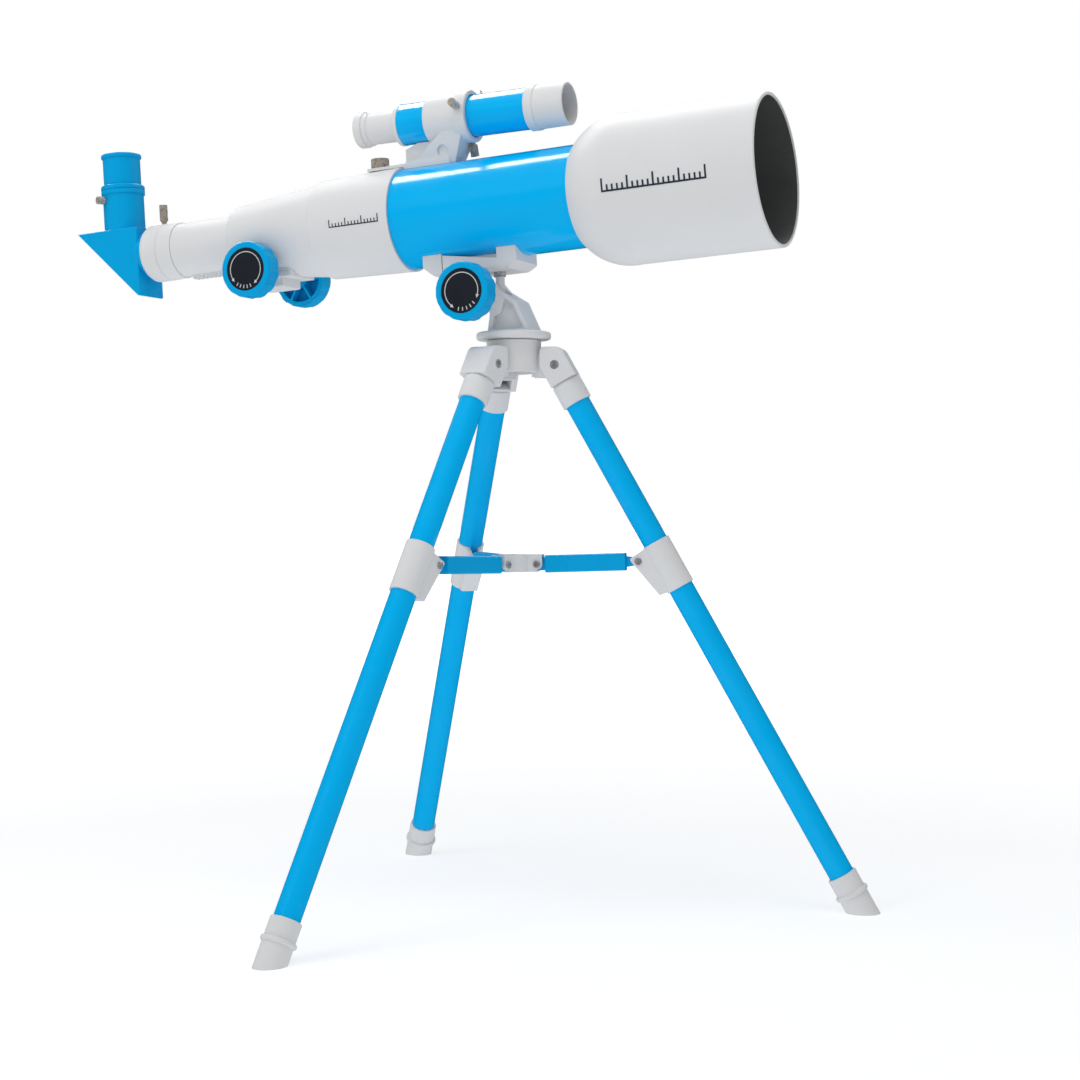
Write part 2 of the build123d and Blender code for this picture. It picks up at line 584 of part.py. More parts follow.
def pinion_cover():
    """Stepped plate under the focuser that closes the pinion pocket."""
    flange = box(FOCUS_X - 18, FOCUS_X + 19, -15, 15, FOCUS_Z - 3.4, FOCUS_Z - 0.05)
    flange = fillet(flange.edges().filter_by(Axis.Z), 2.0)
    boss = box(FOCUS_X - 12, FOCUS_X + 10, -11, 11, FOCUS_Z - 9.2, FOCUS_Z - 3.4)
    boss = fillet(boss.edges().sort_by(Axis.Z)[:4], 1.4)
    shape = flange + boss - cross_rod(FOCUS_X, FOCUS_Z, FOCUS_SHAFT_R + 0.1, -30, 30)
    rear_edge, front_edge = (BODY_REAR, BODY_REAR_R + FIT), (BARREL_REAR, BODY_FRONT_R + FIT)
    shape = shape - turned([(BODY_REAR, 0), rear_edge, front_edge, (BARREL_REAR, 0)])
    return shape - pinion_pocket()


def tooth_half_widths(pitch_half, reach_out, reach_in):
    """Half widths of a tooth at its tip and root."""
    return pitch_half - reach_out * tan(radians(20)), pitch_half + reach_in * tan(radians(20))


def focus_shaft():
    """Shaft with the toothed pinion in the middle."""
    pitch_r = TOOTH_MODULE * PINION_TEETH / 2
    half = pi * TOOTH_MODULE / 4 - 0.14
    tip, root = tooth_half_widths(half, 0.8, 0.2)
    outline = Circle(pitch_r - 1.15)
    tooth = polygon([(3.2, root), (pitch_r - 0.2, root), (pitch_r + 0.8, tip), (pitch_r + 0.8, -tip),
                     (pitch_r - 0.2, -root), (3.2, -root)])
    for i in range(PINION_TEETH):
        outline = outline + Rot(0, 0, 90 + 360 * i / PINION_TEETH) * tooth
    pinion = slab(outline, 4.5)
    end = FOCUS_KNOB_INNER + 7.0
    return Pos(FOCUS_X, 0, FOCUS_Z) * (pinion + cross_rod(0, 0, FOCUS_SHAFT_R, -end, end))


def focus_knobs():
    """Two knobs, one on each end of the focus shaft."""
    bore_end = FOCUS_KNOB_INNER + 7.2
    bore = cross_rod(0, 0, FOCUS_SHAFT_R + FIT, -bore_end, bore_end)
    return Pos(FOCUS_X, 0, FOCUS_Z) * Compound([knob(FOCUS_KNOB_INNER, side) - bore for side in (-1, 1)])


def focus_knob_discs():
    """Dark cover discs of both focus knobs."""
    return Pos(FOCUS_X, 0, FOCUS_Z) * Compound([knob_disc(FOCUS_KNOB_INNER, side) for side in (-1, 1)])


def drawtube():
    """Sliding tube with a toothed rack along its underside."""
    tube = ring(COLLAR_SEAM - 3, DRAW_FRONT, DRAW_R, DRAW_R - DRAW_WALL)
    pitch = pi * TOOTH_MODULE
    pitch_z = FOCUS_Z + TOOTH_MODULE * PINION_TEETH / 2
    rack = box(-230, -147.5, -3.5, 3.5, pitch_z + 1.15, -DRAW_R + 0.8)
    half = pitch / 4 - 0.14
    tip, root = tooth_half_widths(half, 0.8, 1.15)
    tooth = slab(polygon([(-root, 1.2), (-tip, -0.8), (tip, -0.8), (root, 1.2)]), 3.5)
    for i in range(-20, 6):  # teeth behind and ahead of the focus shaft
        rack = rack + Pos(FOCUS_X + (i + 0.5) * pitch, 0, pitch_z) * tooth
    return tube + rack


def drawtube_collar():
    """White end collar of the drawtube, bored for the diagonal."""
    seam = DRAW_END + 13.0
    end = [(DRAW_END, NOSE_R + FIT), (DRAW_END, 17.2), (DRAW_END + 2.0, 18.6)]
    outside = [(seam - 0.3, 18.6), (seam, 18.2), (seam + 0.3, 18.5), (COLLAR_SEAM - 0.2, 18.2)]
    step = [(COLLAR_SEAM - 0.2, DRAW_R + FIT), (COLLAR_SEAM - 3.2, DRAW_R + FIT)]
    spigot_r = DRAW_R - DRAW_WALL - FIT
    spigot = [(COLLAR_SEAM - 3.2, spigot_r), (COLLAR_SEAM + 8, spigot_r), (COLLAR_SEAM + 8, 13.6)]
    shape = turned(end + outside + step + spigot + [(COLLAR_SEAM - 5, NOSE_R + FIT)])
    return shape - Pos(LOCK_SCREW_X, 0, 10) * Cylinder(THUMBSCREW_HOLE_R, 15, align=LOW)


def thumbscrew(tip, head, head_length, head_r):
    """Knurled thumbscrew along its own Z, from its tip up to its head."""
    shank = Pos(0, 0, tip) * Cylinder(THUMBSCREW_R, head - tip + 0.5, align=LOW)
    collar = Pos(0, 0, head - 0.4) * Cylinder(0.72 * head_r, 1.0, align=LOW)
    grip = Pos(0, 0, head + 0.5) * knurled(head_r, head_length, 16)
    return shank + collar + grip


def drawtube_lock_screw():
    """Thumbscrew that holds the diagonal in the drawtube collar."""
    return Pos(LOCK_SCREW_X, 0, 0) * thumbscrew(NOSE_R + 0.3, 20.6, 10.4, 2.7)


def diagonal_outline():
    """Side outline of the diagonal: two square faces and one at 45 degrees."""
    return [(-312.0, 17.5), (-265.0, 17.5), (-265.0, -27.6), (-266.9, -27.6)]


def diagonal_housing():
    """Prism box with a nose for the drawtube and an upright eyepiece socket."""
    body = slab(polygon(diagonal_outline()), DIAGONAL_HALF_WIDTH)
    body = fillet([e for e in body.edges() if abs(abs(e.center().Y) - DIAGONAL_HALF_WIDTH) < 0.01], 0.8)
    nose = ring(-268.0, DRAW_END - 0.2, 15.0, 0) + ring(-268.0, DRAW_END + 17.4, NOSE_R, 0)
    base = Pos(DIAGONAL_X, 0, 0)
    socket = base * Pos(0, 0, 14) * Cylinder(13.4, 32.6, align=LOW)
    rim = base * Pos(0, 0, 41.6) * Cylinder(14.3, 6.0, align=LOW)
    rim = fillet(rim.edges().filter_by(GeomType.CIRCLE), 0.7)
    groove = base * Pos(0, 0, 44.3) * (Cylinder(16, 0.7, align=LOW) - Cylinder(13.9, 0.7, align=LOW))
    shape = body + nose + socket + rim - groove
    room_front, room_top = DIAGONAL_X + PRISM_LEG / 2 + 0.3, PRISM_LEG / 2 + 0.3
    room_leg = 75.0
    room = [(room_front, room_top), (room_front, room_top - room_leg), (room_front - room_leg, room_top)]
    shape = shape - slab(polygon(room), 12.2)
    shape = shape - ring(-275, DRAW_END + 20, 10.0, 0)
    shape = shape - base * Pos(0, 0, 12) * Cylinder(10.0, 13, align=LOW)
    shape = shape - base * Pos(0, 0, 24) * Cylinder(NOSE_R + FIT, 30, align=LOW)
    return shape - eyepiece_screw_place() * Cylinder(THUMBSCREW_HOLE_R, 20, align=LOW)


def diagonal_back_plate():
    """Slanted plate that closes the prism box and holds the prism in its corner."""
    outer = -294.3  # x + z on the plate's outer face
    inner = outer + 4.2
    pad = DIAGONAL_X - 0.3
    front, top = DIAGONAL_X + PRISM_LEG / 2 + 0.2, PRISM_LEG / 2 + 0.2
    plate = [(outer - top, top), (inner - top, top), (front, inner - front), (front, outer - front)]
    block = [(inner - 9.0, 9.0), (pad - 9.0, 9.0), (pad + 9.0, -9.0), (inner + 9.0, -9.0)]
    return slab(polygon(plate), 12.1) + slab(polygon(block), 8.0)


def diagonal_prism():
    """Right-angle prism."""
    front, top = DIAGONAL_X + PRISM_LEG / 2, PRISM_LEG / 2
    return slab(polygon([(front, top), (front - PRISM_LEG, top), (front, top - PRISM_LEG)]), 12.0)


def eyepiece_screw_place():
    """Frame on the eyepiece axis whose Z points out along the lock screw."""
    return Pos(DIAGONAL_X, 0, EYEPIECE_SCREW_Z) * Rot(0, 0, EYEPIECE_SCREW_TURN) * Rot(0, 90, 0)


def eyepiece_lock_screw():
    """Thumbscrew that holds the eyepiece in the diagonal."""
    return eyepiece_screw_place() * thumbscrew(NOSE_R + 0.3, 14.2, 4.6, 2.6)


def eyepiece_barrel():
    """Plain barrel with a lipped top."""
    top = 68.6
    shape = Pos(0, 0, 26) * Cylinder(NOSE_R, top - 26, align=LOW)
    lip = Pos(0, 0, top - 2.6) * Cylinder(13.2, 2.6, align=LOW)
    lip = fillet(lip.edges().filter_by(GeomType.CIRCLE), 0.8)
    shape = shape + lip - Pos(0, 0, 25) * Cylinder(10.6, top - 28, align=LOW)
    opening = Pos(0, 0, top - 4) * Cone(6.6, 10.2, 4.1, align=LOW)
    return Pos(DIAGONAL_X, 0, 0) * (shape - opening)


def eyepiece_lenses():
    """Eye lens and field lens, bulging into the barrel."""
    turn = Pos(DIAGONAL_X, 0, 0) * Rot(0, -90, 0)
    eye = turn * lens(60.9, 63.4, 10.5, 2.2, 0.0)
    field = turn * lens(36.0, 38.2, 10.5, 0.0, 2.0)
    return Compound([eye, field])


def finder_bracket():
    """Ring, slanted arm and foot plate of the finder, in one piece."""
    rear, flange, front = -51.1, -30.0, -22.0
    ring_r, flange_r = 14.6, 16.0
    outer = ring(rear, flange + 1, ring_r, 0) + ring(flange, front, flange_r, 0)
    outer = fillet(circle_edges(outer, front, flange_r) + circle_edges(outer, rear, ring_r), 0.8)
    arm_foot = Pos(-51.0, 0, 30.0) * Rectangle(34.0, 12.0)
    arm_head = Pos(-26.2, 0, FINDER_Z - 2.0) * Rectangle(7.4, 26.4)
    arm = loft([arm_foot, arm_head])
    web = [(-69.0, 31.0), (-69.0, 42.8), (-52.0, 49.5), (-40.0, 50.0), (-40.0, 31.0)]
    web = slab(polygon(web), 3.2)
    plate = box(-96.0, -60.0, -6.3, 6.3, 28.0, PLATE_TOP)
    plate = fillet(plate.edges().filter_by(Axis.Z), 2.4)
    root = box(-68.0, -36.0, -8.0, 8.0, 28.0, PLATE_TOP + 0.9)
    root = fillet(root.edges().filter_by(Axis.Z), 2.4)
    shape = FINDER_PLACE * outer + arm + web + root + plate
    shape = shape - FINDER_PLACE * ring(rear - 20, front + 20, FINDER_RING_BORE_R, 0)
    barrel_edge = BARREL_FRONT + 0.3
    shape = shape - ring(barrel_edge, 0, MAIN_R + FIT, 0) - ring(-100, barrel_edge, 32.6, 0)
    for side in (-1, 1):
        shape = shape - rod((-41.2, side * 14, 38.1), (0, -side, 0), 3.6, 7.2)
    for angle in FINDER_SCREW_ANGLES:
        place = finder_screw_place(angle)
        shape = shape - place * Cylinder(THUMBSCREW_HOLE_R, 25, align=LOW)
        shape = shape - place * Pos(0, 0, flange_r + 0.4) * Cylinder(3.2, 12, align=LOW)
    return shape - Pos(FOOT_SCREW_X, 0, 25) * Cylinder(FOOT_SCREW_R + FIT, 15, align=LOW)


def finder_screw_place(angle):
    """Frame on the finder axis whose Z points out along a screw."""
    across = (0, cos(radians(angle)), sin(radians(angle)))
    turn = Plane(origin=(0, 0, 0), z_dir=across, x_dir=(1, 0, 0)).location
    return FINDER_PLACE * Pos(BRACKET_SCREW_X, 0, 0) * turn


def finder_screw(angle):
    """Thumbscrew that aims the finder tube in its bracket ring."""
    return finder_screw_place(angle) * thumbscrew(FINDER_R + 0.15, 17.0, 7.0, 2.6)


def finder_thumb_nut():
    """Knurled screw that clamps the finder foot to the rear barrel."""
    shank = Pos(0, 0, 25.0) * Cylinder(FOOT_SCREW_R, 12, align=LOW)
    grip = Pos(0, 0, PLATE_TOP + 0.1) * knurled(5.7, 6.2, 28)
    return Pos(FOOT_SCREW_X, 0, 0) * (shank + grip)


def finder_tube():
    """Small tube held in the bracket ring by the three screws."""
    return FINDER_PLACE * ring(-70.0, 21.0, FINDER_R, FINDER_R - FINDER_WALL)


def finder_rear_ring():
    """White ring on the rear of the finder tube that guides its eyepiece."""
    rear = -73.2
    spigot_r = FINDER_R - FINDER_WALL - FIT
    outside = [(rear, 9.8), (rear, 12.2), (rear + 0.8, 12.9), (-70.1, 12.9), (-70.1, spigot_r)]
    return FINDER_PLACE * turned(outside + [(-63.0, spigot_r), (-63.0, 9.8)])


def finder_hood():
    """White hood with a lipped rear on the front of the finder tube."""
    rear, lip, front = 16.5, 21.8, 41.7
    lip_part = [(rear, FINDER_R + FIT), (rear, 13.8), (lip, 13.8), (lip + 0.6, 13.2)]
    shape = turned(lip_part + [(front, 12.9), (front, 11.8), (21.4, 11.8), (21.4, FINDER_R + FIT)])
    shape = fillet(circle_edges(shape, front, 12.9), 0.5)
    return FINDER_PLACE * shape


def finder_objective():
    """Front lens of the finder."""
    return FINDER_PLACE * lens(14.5, 16.9, FINDER_R - FINDER_WALL - FIT, 0.9, 0.9)


def finder_eyepiece():
    """White eyepiece with a double flange; it slides in the rear ring."""
    rear = -101.7
    flanges = [(rear, 5.5), (rear, 10.5), (rear + 0.8, 11.1), (rear + 5.2, 11.1), (rear + 5.4, 10.4)]
    neck = [(rear + 8.2, 10.4), (rear + 9.0, 9.7), (-65.3, 9.7), (-65.3, 8.0)]
    return FINDER_PLACE * turned(flanges + neck + [(rear + 10.4, 8.0), (rear + 10.4, 5.5)])


def finder_eye_lens():
    """Rear lens of the finder."""
    return FINDER_PLACE * lens(-91.2, -89.3, 7.95, 0.0, 1.2)


def main():
    os.makedirs("parts", exist_ok=True)
    save(tripod_hub(), "tripod_hub")
    save(leg_pivot_screws(), "leg_pivot_screws")
    save(azimuth_bolt(), "azimuth_bolt")
    save(brace_hub(), "brace_hub")
    save(brace_hub_screws(), "brace_hub_screws")
    for letter, azimuth in LEG_AZIMUTHS.items():
        turn = Rot(0, 0, azimuth)
        save(turn * LEG_PLACE * knuckle(), f"leg_{letter}_knuckle")
        save(turn * LEG_PLACE * leg_tube(), f"leg_{letter}_tube")
        save(turn * LEG_PLACE * brace_collar(), f"leg_{letter}_collar")
        save(turn * LEG_PLACE * ear_screws(), f"leg_{letter}_ear_screws")
        save(turn * foot(), f"leg_{letter}_foot")
        save(turn * brace_link(), f"brace_link_{letter}")
    for piece in (head_post, tilt_shaft, angle_knob, angle_knob_disc):
        save(piece(), piece.__name__)
    front_pieces = (tilt_neck, neck_nut, cradle, main_tube, dew_shield, objective_cell, objective_lenses)
    focuser_pieces = (rear_barrel, focuser_body, pinion_cover, focus_shaft, focus_knobs, focus_knob_discs)
    drawtube_pieces = (drawtube, drawtube_collar, drawtube_lock_screw)
    diagonal_pieces = (diagonal_housing, diagonal_back_plate, diagonal_prism, eyepiece_lock_screw)
    eyepiece_pieces = (eyepiece_barrel, eyepiece_lenses)
    finder_mount = (finder_bracket, finder_thumb_nut)
    finder_pieces = (finder_tube, finder_rear_ring, finder_hood, finder_objective)
    finder_eye_pieces = (finder_eyepiece, finder_eye_lens)
    on_tube = front_pieces + focuser_pieces + drawtube_pieces + diagonal_pieces
    on_tube += eyepiece_pieces + finder_mount + finder_pieces + finder_eye_pieces
    for piece in on_tube:
        save(TUBE_PLACE * piece(), piece.__name__)
    for number, angle in enumerate(FINDER_SCREW_ANGLES, start=1):
        save(TUBE_PLACE * finder_screw(angle), f"finder_screw_{number}")


main()
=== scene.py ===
import json
import math

import bmesh
import bpy
from mathutils import Matrix, Vector


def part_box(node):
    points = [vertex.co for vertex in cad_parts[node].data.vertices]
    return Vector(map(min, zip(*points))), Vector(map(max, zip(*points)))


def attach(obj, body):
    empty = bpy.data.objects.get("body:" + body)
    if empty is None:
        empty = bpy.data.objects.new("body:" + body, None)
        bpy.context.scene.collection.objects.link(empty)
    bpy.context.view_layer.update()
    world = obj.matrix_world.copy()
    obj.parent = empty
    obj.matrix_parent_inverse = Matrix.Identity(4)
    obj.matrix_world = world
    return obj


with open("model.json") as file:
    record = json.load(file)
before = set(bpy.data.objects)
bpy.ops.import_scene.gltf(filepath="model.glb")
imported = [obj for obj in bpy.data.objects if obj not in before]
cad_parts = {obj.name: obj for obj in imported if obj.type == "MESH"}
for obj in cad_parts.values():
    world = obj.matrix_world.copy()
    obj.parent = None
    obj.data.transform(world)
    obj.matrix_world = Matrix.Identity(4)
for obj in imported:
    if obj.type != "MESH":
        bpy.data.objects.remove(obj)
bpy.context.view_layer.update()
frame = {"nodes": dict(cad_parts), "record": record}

# ---- the telescope's own frame, with the tilt and height of the part's source ----
TUBE_TILT = math.radians(3.04)  # front end up
MM = 0.001
ALONG = Vector((math.cos(TUBE_TILT), 0, math.sin(TUBE_TILT)))
SIDE = Vector((0, 1, 0))
ABOVE = Vector((-math.sin(TUBE_TILT), 0, math.cos(TUBE_TILT)))

TUBE_HEIGHT = 428.1 * MM  # telescope axis over the floor, at the tripod axis

# ---- details ----
SHIELD_WALL = 2.0 * MM  # up to 0.2 mm more than the shield has under its marks
BARREL_MARKS_R = (31.53 * MM, 32.47 * MM)  # the rear barrel widens forwards under its marks
INK_RAISE = 0.04 * MM  # least gap; the tube's marks stand 0.08 to 0.24 mm off its walls
LINER_GAP = 0.15 * MM
LINER_STEPS = 96
LINER_SHOULDER = 0.81  # the liner's inner rim on the shoulder, as a share of its radius
LINER_MOUTH_GAP = 1.0 * MM  # left bare at the open end
EDGE_ROUNDING = 0.35 * MM
ARC_R = 10.9 * MM  # curved arrows on the knob discs
ARC_WIDTH = 0.55 * MM
ANGLE_ARC = (-17.6, 228)  # degrees, where the curved arrow starts and ends
FOCUS_ARC = (-48, 209)
ARROW_HALF = 1.1 * MM
ARROW_REACH = 2.2 * MM
TICK_COUNT = 5
TICK_HALF_WIDTH = 0.3 * MM
TICK_HALF_REACH = 1.1 * MM

# ---- studio ----
VIEW_TURN = math.radians(23.75)  # the camera looks across the tube from this far behind square
CAMERA_BACK = 1.2371
CAMERA_RIGHT = 0.0148
CAMERA_HEIGHT = 0.2399
CAMERA_DOWN = math.radians(0.74)
CAMERA_ROLL = math.radians(-0.58)
LENS_MM = 67.43
SENSOR_MM = 36.0
CAMERA_REACH = 60.0  # past the far edge of the floor
WHITE = (1.0, 1.0, 1.0)
FRONT_COLOUR = (1.0, 0.995, 0.985)
FLOOR_HALF = 30.0
PLATING_SHINE = 0.40  # dull plating, with the haze of handling on it
FLOOR_GLOW = 0.52
FLOOR_GLOW_SEEN = 0.56  # a little brighter to the camera, so that the ground reads as white paper
FLOOR_NEAR = 0.45  # the ground's own glow rises from here
FLOOR_FAR = 2.0  # and is full white here
HORIZON_LIGHT = 0.35
ZENITH_LIGHT = 0.46


def middle(node):
    """Middle of a CAD node's box."""
    low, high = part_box(node)
    return (low + high) / 2


def mount(name):
    """One stated interface of the part."""
    for found in frame["record"]["mounts"]:
        if found["name"] == name:
            return found
    raise KeyError(name)


def srgb(red, green, blue):
    """Linear colour from 0 to 255 screen values."""
    out = []
    for value in (red, green, blue):
        level = value / 255
        out.append(level / 12.92 if level <= 0.04045 else ((level + 0.055) / 1.055) ** 2.4)
    return (*out, 1.0)


# ---- materials ----
class Maker:
    """A node material with its shader, and short calls that add and join nodes."""

    def __init__(self, name):
        self.material = bpy.data.materials.new(name)
        self.material.use_nodes = True
        self.nodes = self.material.node_tree.nodes
        self.links = self.material.node_tree.links
        self.shader = self.nodes["Principled BSDF"]
        self.coordinates = self.nodes.new("ShaderNodeTexCoord").outputs["Object"]

    def add(self, kind, **settings):
        node = self.nodes.new(kind)
        for key, value in settings.items():
            if key in node.inputs:
                node.inputs[key].default_value = value
            else:
                setattr(node, key, value)
        return node

    def join(self, source, target):
        self.links.new(source, target)

    def noise(self, scale, detail=2.0):
        node = self.add("ShaderNodeTexNoise", Scale=scale, Detail=detail)
        self.join(self.coordinates, node.inputs["Vector"])
        return node.outputs["Fac"]

    def spread(self, source, low, high):
        """The source from 0.3 to 0.7 turned into low to high."""
        node = self.nodes.new("ShaderNodeMapRange")
        node.inputs["From Min"].default_value = 0.3
        node.inputs["From Max"].default_value = 0.7
        node.inputs["To Min"].default_value = low
        node.inputs["To Max"].default_value = high
        self.join(source, node.inputs["Value"])
        return node.outputs["Result"]

    def mix(self, factor, first, second):
        node = self.nodes.new("ShaderNodeMix")
        node.data_type = "RGBA"
        node.inputs["A"].default_value = first
        node.inputs["B"].default_value = second
        self.join(factor, node.inputs["Factor"])
        return node.outputs["Result"]

    def mix_sockets(self, factor, first, second):
        """Like mix, with the first colour taken from another node."""
        mixed = self.mix(factor, second, second)
        self.join(first, mixed.node.inputs["A"])
        return mixed

    def scale(self, source, factor):
        node = self.nodes.new("ShaderNodeMath")
        node.operation = "MULTIPLY"
        node.inputs[1].default_value = factor
        self.join(source, node.inputs[0])
        return node.outputs[0]

    def set(self, **values):
        names = {"ior": "IOR", "metallic": "Metallic", "transmission": "Transmission Weight",
                 "specular": "Specular IOR Level"}
        for key, value in values.items():
            self.shader.inputs[names[key]].default_value = value

    def bump(self, height, distance, bevelled=True):
        """Fine relief, over edges that look slightly rounded unless told otherwise."""
        node = self.add("ShaderNodeBump", Distance=distance, Strength=1.0)
        if bevelled:
            bevel = self.add("ShaderNodeBevel", samples=6, Radius=EDGE_ROUNDING)
            self.join(bevel.outputs["Normal"], node.inputs["Normal"])
        self.join(height, node.inputs["Height"])
        self.join(node.outputs["Normal"], self.shader.inputs["Normal"])


def painted(name, colours, roughness, grain, grain_depth, specular, bevelled=True):
    """Paint or moulded plastic: soft colour drift, handling smudges in the gloss, and a fine grain."""
    maker = Maker(name)
    drift = maker.spread(maker.noise(35, 3.0), 0, 1)
    speck = maker.spread(maker.noise(420, 3.0), 0, 1)
    base = maker.mix(drift, colours[0], colours[1])
    flecked = maker.mix_sockets(maker.scale(speck, 0.12), base, colours[2])
    maker.join(flecked, maker.shader.inputs["Base Color"])
    smudge = maker.spread(maker.noise(45, 5.0), roughness[0], roughness[1])
    maker.join(smudge, maker.shader.inputs["Roughness"])
    maker.bump(maker.noise(grain, 3.0), grain_depth, bevelled=bevelled)
    maker.set(specular=specular)
    return maker.material


def brushed(name, colour, second_colour, rough_low, rough_high):
    """Turned or plated metal with fine marks."""
    maker = Maker(name)
    maker.join(maker.mix(maker.spread(maker.noise(500, 4.0), 0, 1), colour, second_colour),
               maker.shader.inputs["Base Color"])
    maker.join(maker.spread(maker.noise(900, 2.0), rough_low, rough_high), maker.shader.inputs["Roughness"])
    maker.bump(maker.noise(2500, 2.0), 0.01 * MM)
    maker.set(metallic=PLATING_SHINE)
    return maker.material


def optical_glass():
    """Clear glass with a faint coating tint."""
    maker = Maker("optical_glass")
    tint = maker.spread(maker.noise(25, 1.0), 0, 1)
    coating = maker.mix(tint, (0.80, 0.93, 0.95, 1), (0.86, 0.88, 0.98, 1))
    maker.join(coating, maker.shader.inputs["Base Color"])
    maker.join(maker.spread(maker.noise(200, 2.0), 0.01, 0.03), maker.shader.inputs["Roughness"])
    maker.set(transmission=1.0, ior=1.52)
    return maker.material


def white_plastic():
    colours = ((0.775, 0.775, 0.78, 1), (0.755, 0.755, 0.76, 1), (0.715, 0.715, 0.715, 1))
    return painted("white_plastic", colours, (0.42, 0.52), 700, 0.008 * MM, specular=0.03)


def blue_paint():
    colours = ((0.0, 0.50, 0.99, 1), (0.0, 0.485, 0.97, 1), (0.0, 0.46, 0.93, 1))
    return painted("blue_paint", colours, (0.13, 0.18), 900, 0.003 * MM, specular=0.40, bevelled=False)


def blue_plastic():
    colours = ((0.0, 0.40, 0.80, 1), (0.0, 0.385, 0.77, 1), (0.0, 0.36, 0.73, 1))
    return painted("blue_plastic", colours, (0.34, 0.44), 600, 0.012 * MM, specular=0.10)


def dark_disc():
    colours = (srgb(37, 41, 50), srgb(33, 36, 45), srgb(48, 50, 56))
    return painted("dark_disc", colours, (0.40, 0.52), 800, 0.01 * MM, specular=0.2)


def black_plastic():
    colours = (srgb(84, 86, 85), srgb(76, 78, 77), srgb(96, 98, 97))
    return painted("black_plastic", colours, (0.55, 0.7), 800, 0.02 * MM, specular=0.2)


def dark_ink():
    colours = (srgb(44, 52, 66), srgb(52, 60, 74), srgb(70, 78, 90))
    return painted("dark_ink", colours, (0.45, 0.6), 1500, 0.002 * MM, specular=0.2, bevelled=False)


def pale_ink():
    colours = (srgb(214, 216, 218), srgb(204, 206, 208), srgb(180, 182, 186))
    return painted("pale_ink", colours, (0.45, 0.6), 1500, 0.002 * MM, specular=0.2, bevelled=False)


MATERIALS = {
    "white_plastic": white_plastic(),
    "blue_paint": blue_paint(),
    "blue_plastic": blue_plastic(),
    "dark_disc": dark_disc(),
    "black_plastic": black_plastic(),
    "nickel_screw": brushed("nickel_screw", srgb(208, 206, 206), srgb(150, 150, 156), 0.25, 0.4),
    "thumbscrew_metal": brushed("thumbscrew_metal", srgb(230, 216, 200), srgb(168, 156, 146), 0.25, 0.4),
    "optical_glass": optical_glass(),
    "dark_ink": dark_ink(),
    "pale_ink": pale_ink(),
}


def dress_cad_nodes():
    """Every CAD node gets the material of its slot."""
    for part in frame["record"]["subparts"]:
        node = frame["nodes"][part["node"]]
        material = MATERIALS[part["material_slot"]]
        node.data.materials.clear()
        node.data.materials.append(material)


# ---- details built as meshes ----
def tube_zero():
    """Where the telescope's axis passes the tripod axis."""
    hub = middle("azimuth_bolt")
    return Vector((hub.x, hub.y, TUBE_HEIGHT))


def new_piece(name, verts, faces, material, body):
    """Mesh piece in the shared frame that rides on a body."""
    mesh = bpy.data.meshes.new(name)
    mesh.from_pydata([tuple(v) for v in verts], [], faces)
    mesh.validate()
    for polygon in mesh.polygons:
        polygon.use_smooth = True
    mesh.materials.append(material)
    piece = bpy.data.objects.new(name, mesh)
    bpy.context.collection.objects.link(piece)
    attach(piece, body)
    return piece


def tube_point(x, radius, turn):
    """Point round the telescope's axis: turn 0 is below, a quarter turn is the near side."""
    return tube_zero() + x * ALONG - radius * math.sin(turn) * SIDE - radius * math.cos(turn) * ABOVE


def wrapped_patches(patches, x_start, length, radii):
    """Vertices and faces of (x0, x1, turn0, turn1) patches on a round surface, tapered between two radii."""
    def radius_at(x):
        return radii[0] + (radii[1] - radii[0]) * (x - x_start) / length + INK_RAISE

    verts, faces = [], []
    for x0, x1, turn0, turn1 in patches:
        steps = max(2, round((turn1 - turn0) / math.radians(1.0)))
        start = len(verts)
        for i in range(steps + 1):
            turn = turn0 + (turn1 - turn0) * i / steps
            verts += [tube_point(x0, radius_at(x0), turn), tube_point(x1, radius_at(x1), turn)]
        for i in range(steps):
            a = start + 2 * i
            faces.append((a, a + 1, a + 3, a + 2))
    return verts, faces


def ruler_patches(x0, length, count, turn_base, radius, line, tick, long_tick):
    """A base line with small ticks over it, every fifth one longer."""
    patches = [(x0, x0 + length, turn_base, turn_base + line / radius)]
    for i in range(count):
        x = x0 + (length - line) * i / (count - 1)
        reach = long_tick if i % 5 == 0 else tick
        patches.append((x, x + line, turn_base, turn_base + reach / radius))
    return patches


def add_ruler(name, x0, length, count, turn_base, radii, line, tick, long_tick):
    """Plain measuring marks printed on the telescope."""
    patches = ruler_patches(x0, length, count, turn_base, radii[0], line, tick, long_tick)
    verts, faces = wrapped_patches(patches, x0, length, radii)
    new_piece(name, verts, faces, MATERIALS["dark_ink"], "tube")


def add_prints():
    """Plain ruler marks where the telescope carries its lettering."""
    shield_r = mount("dew_shield_mouth")["dims"]["r_mm"] * MM + SHIELD_WALL
    on_shield = (shield_r, shield_r)
    add_ruler("shield_marks", x0=76 * MM, length=64 * MM, count=21, turn_base=math.radians(80),
              radii=on_shield, line=1.1 * MM, tick=4.2 * MM, long_tick=8.0 * MM)
    add_ruler("barrel_marks", x0=-111 * MM, length=35 * MM, count=16, turn_base=math.radians(82),
              radii=BARREL_MARKS_R, line=0.7 * MM, tick=2.6 * MM, long_tick=5.0 * MM)


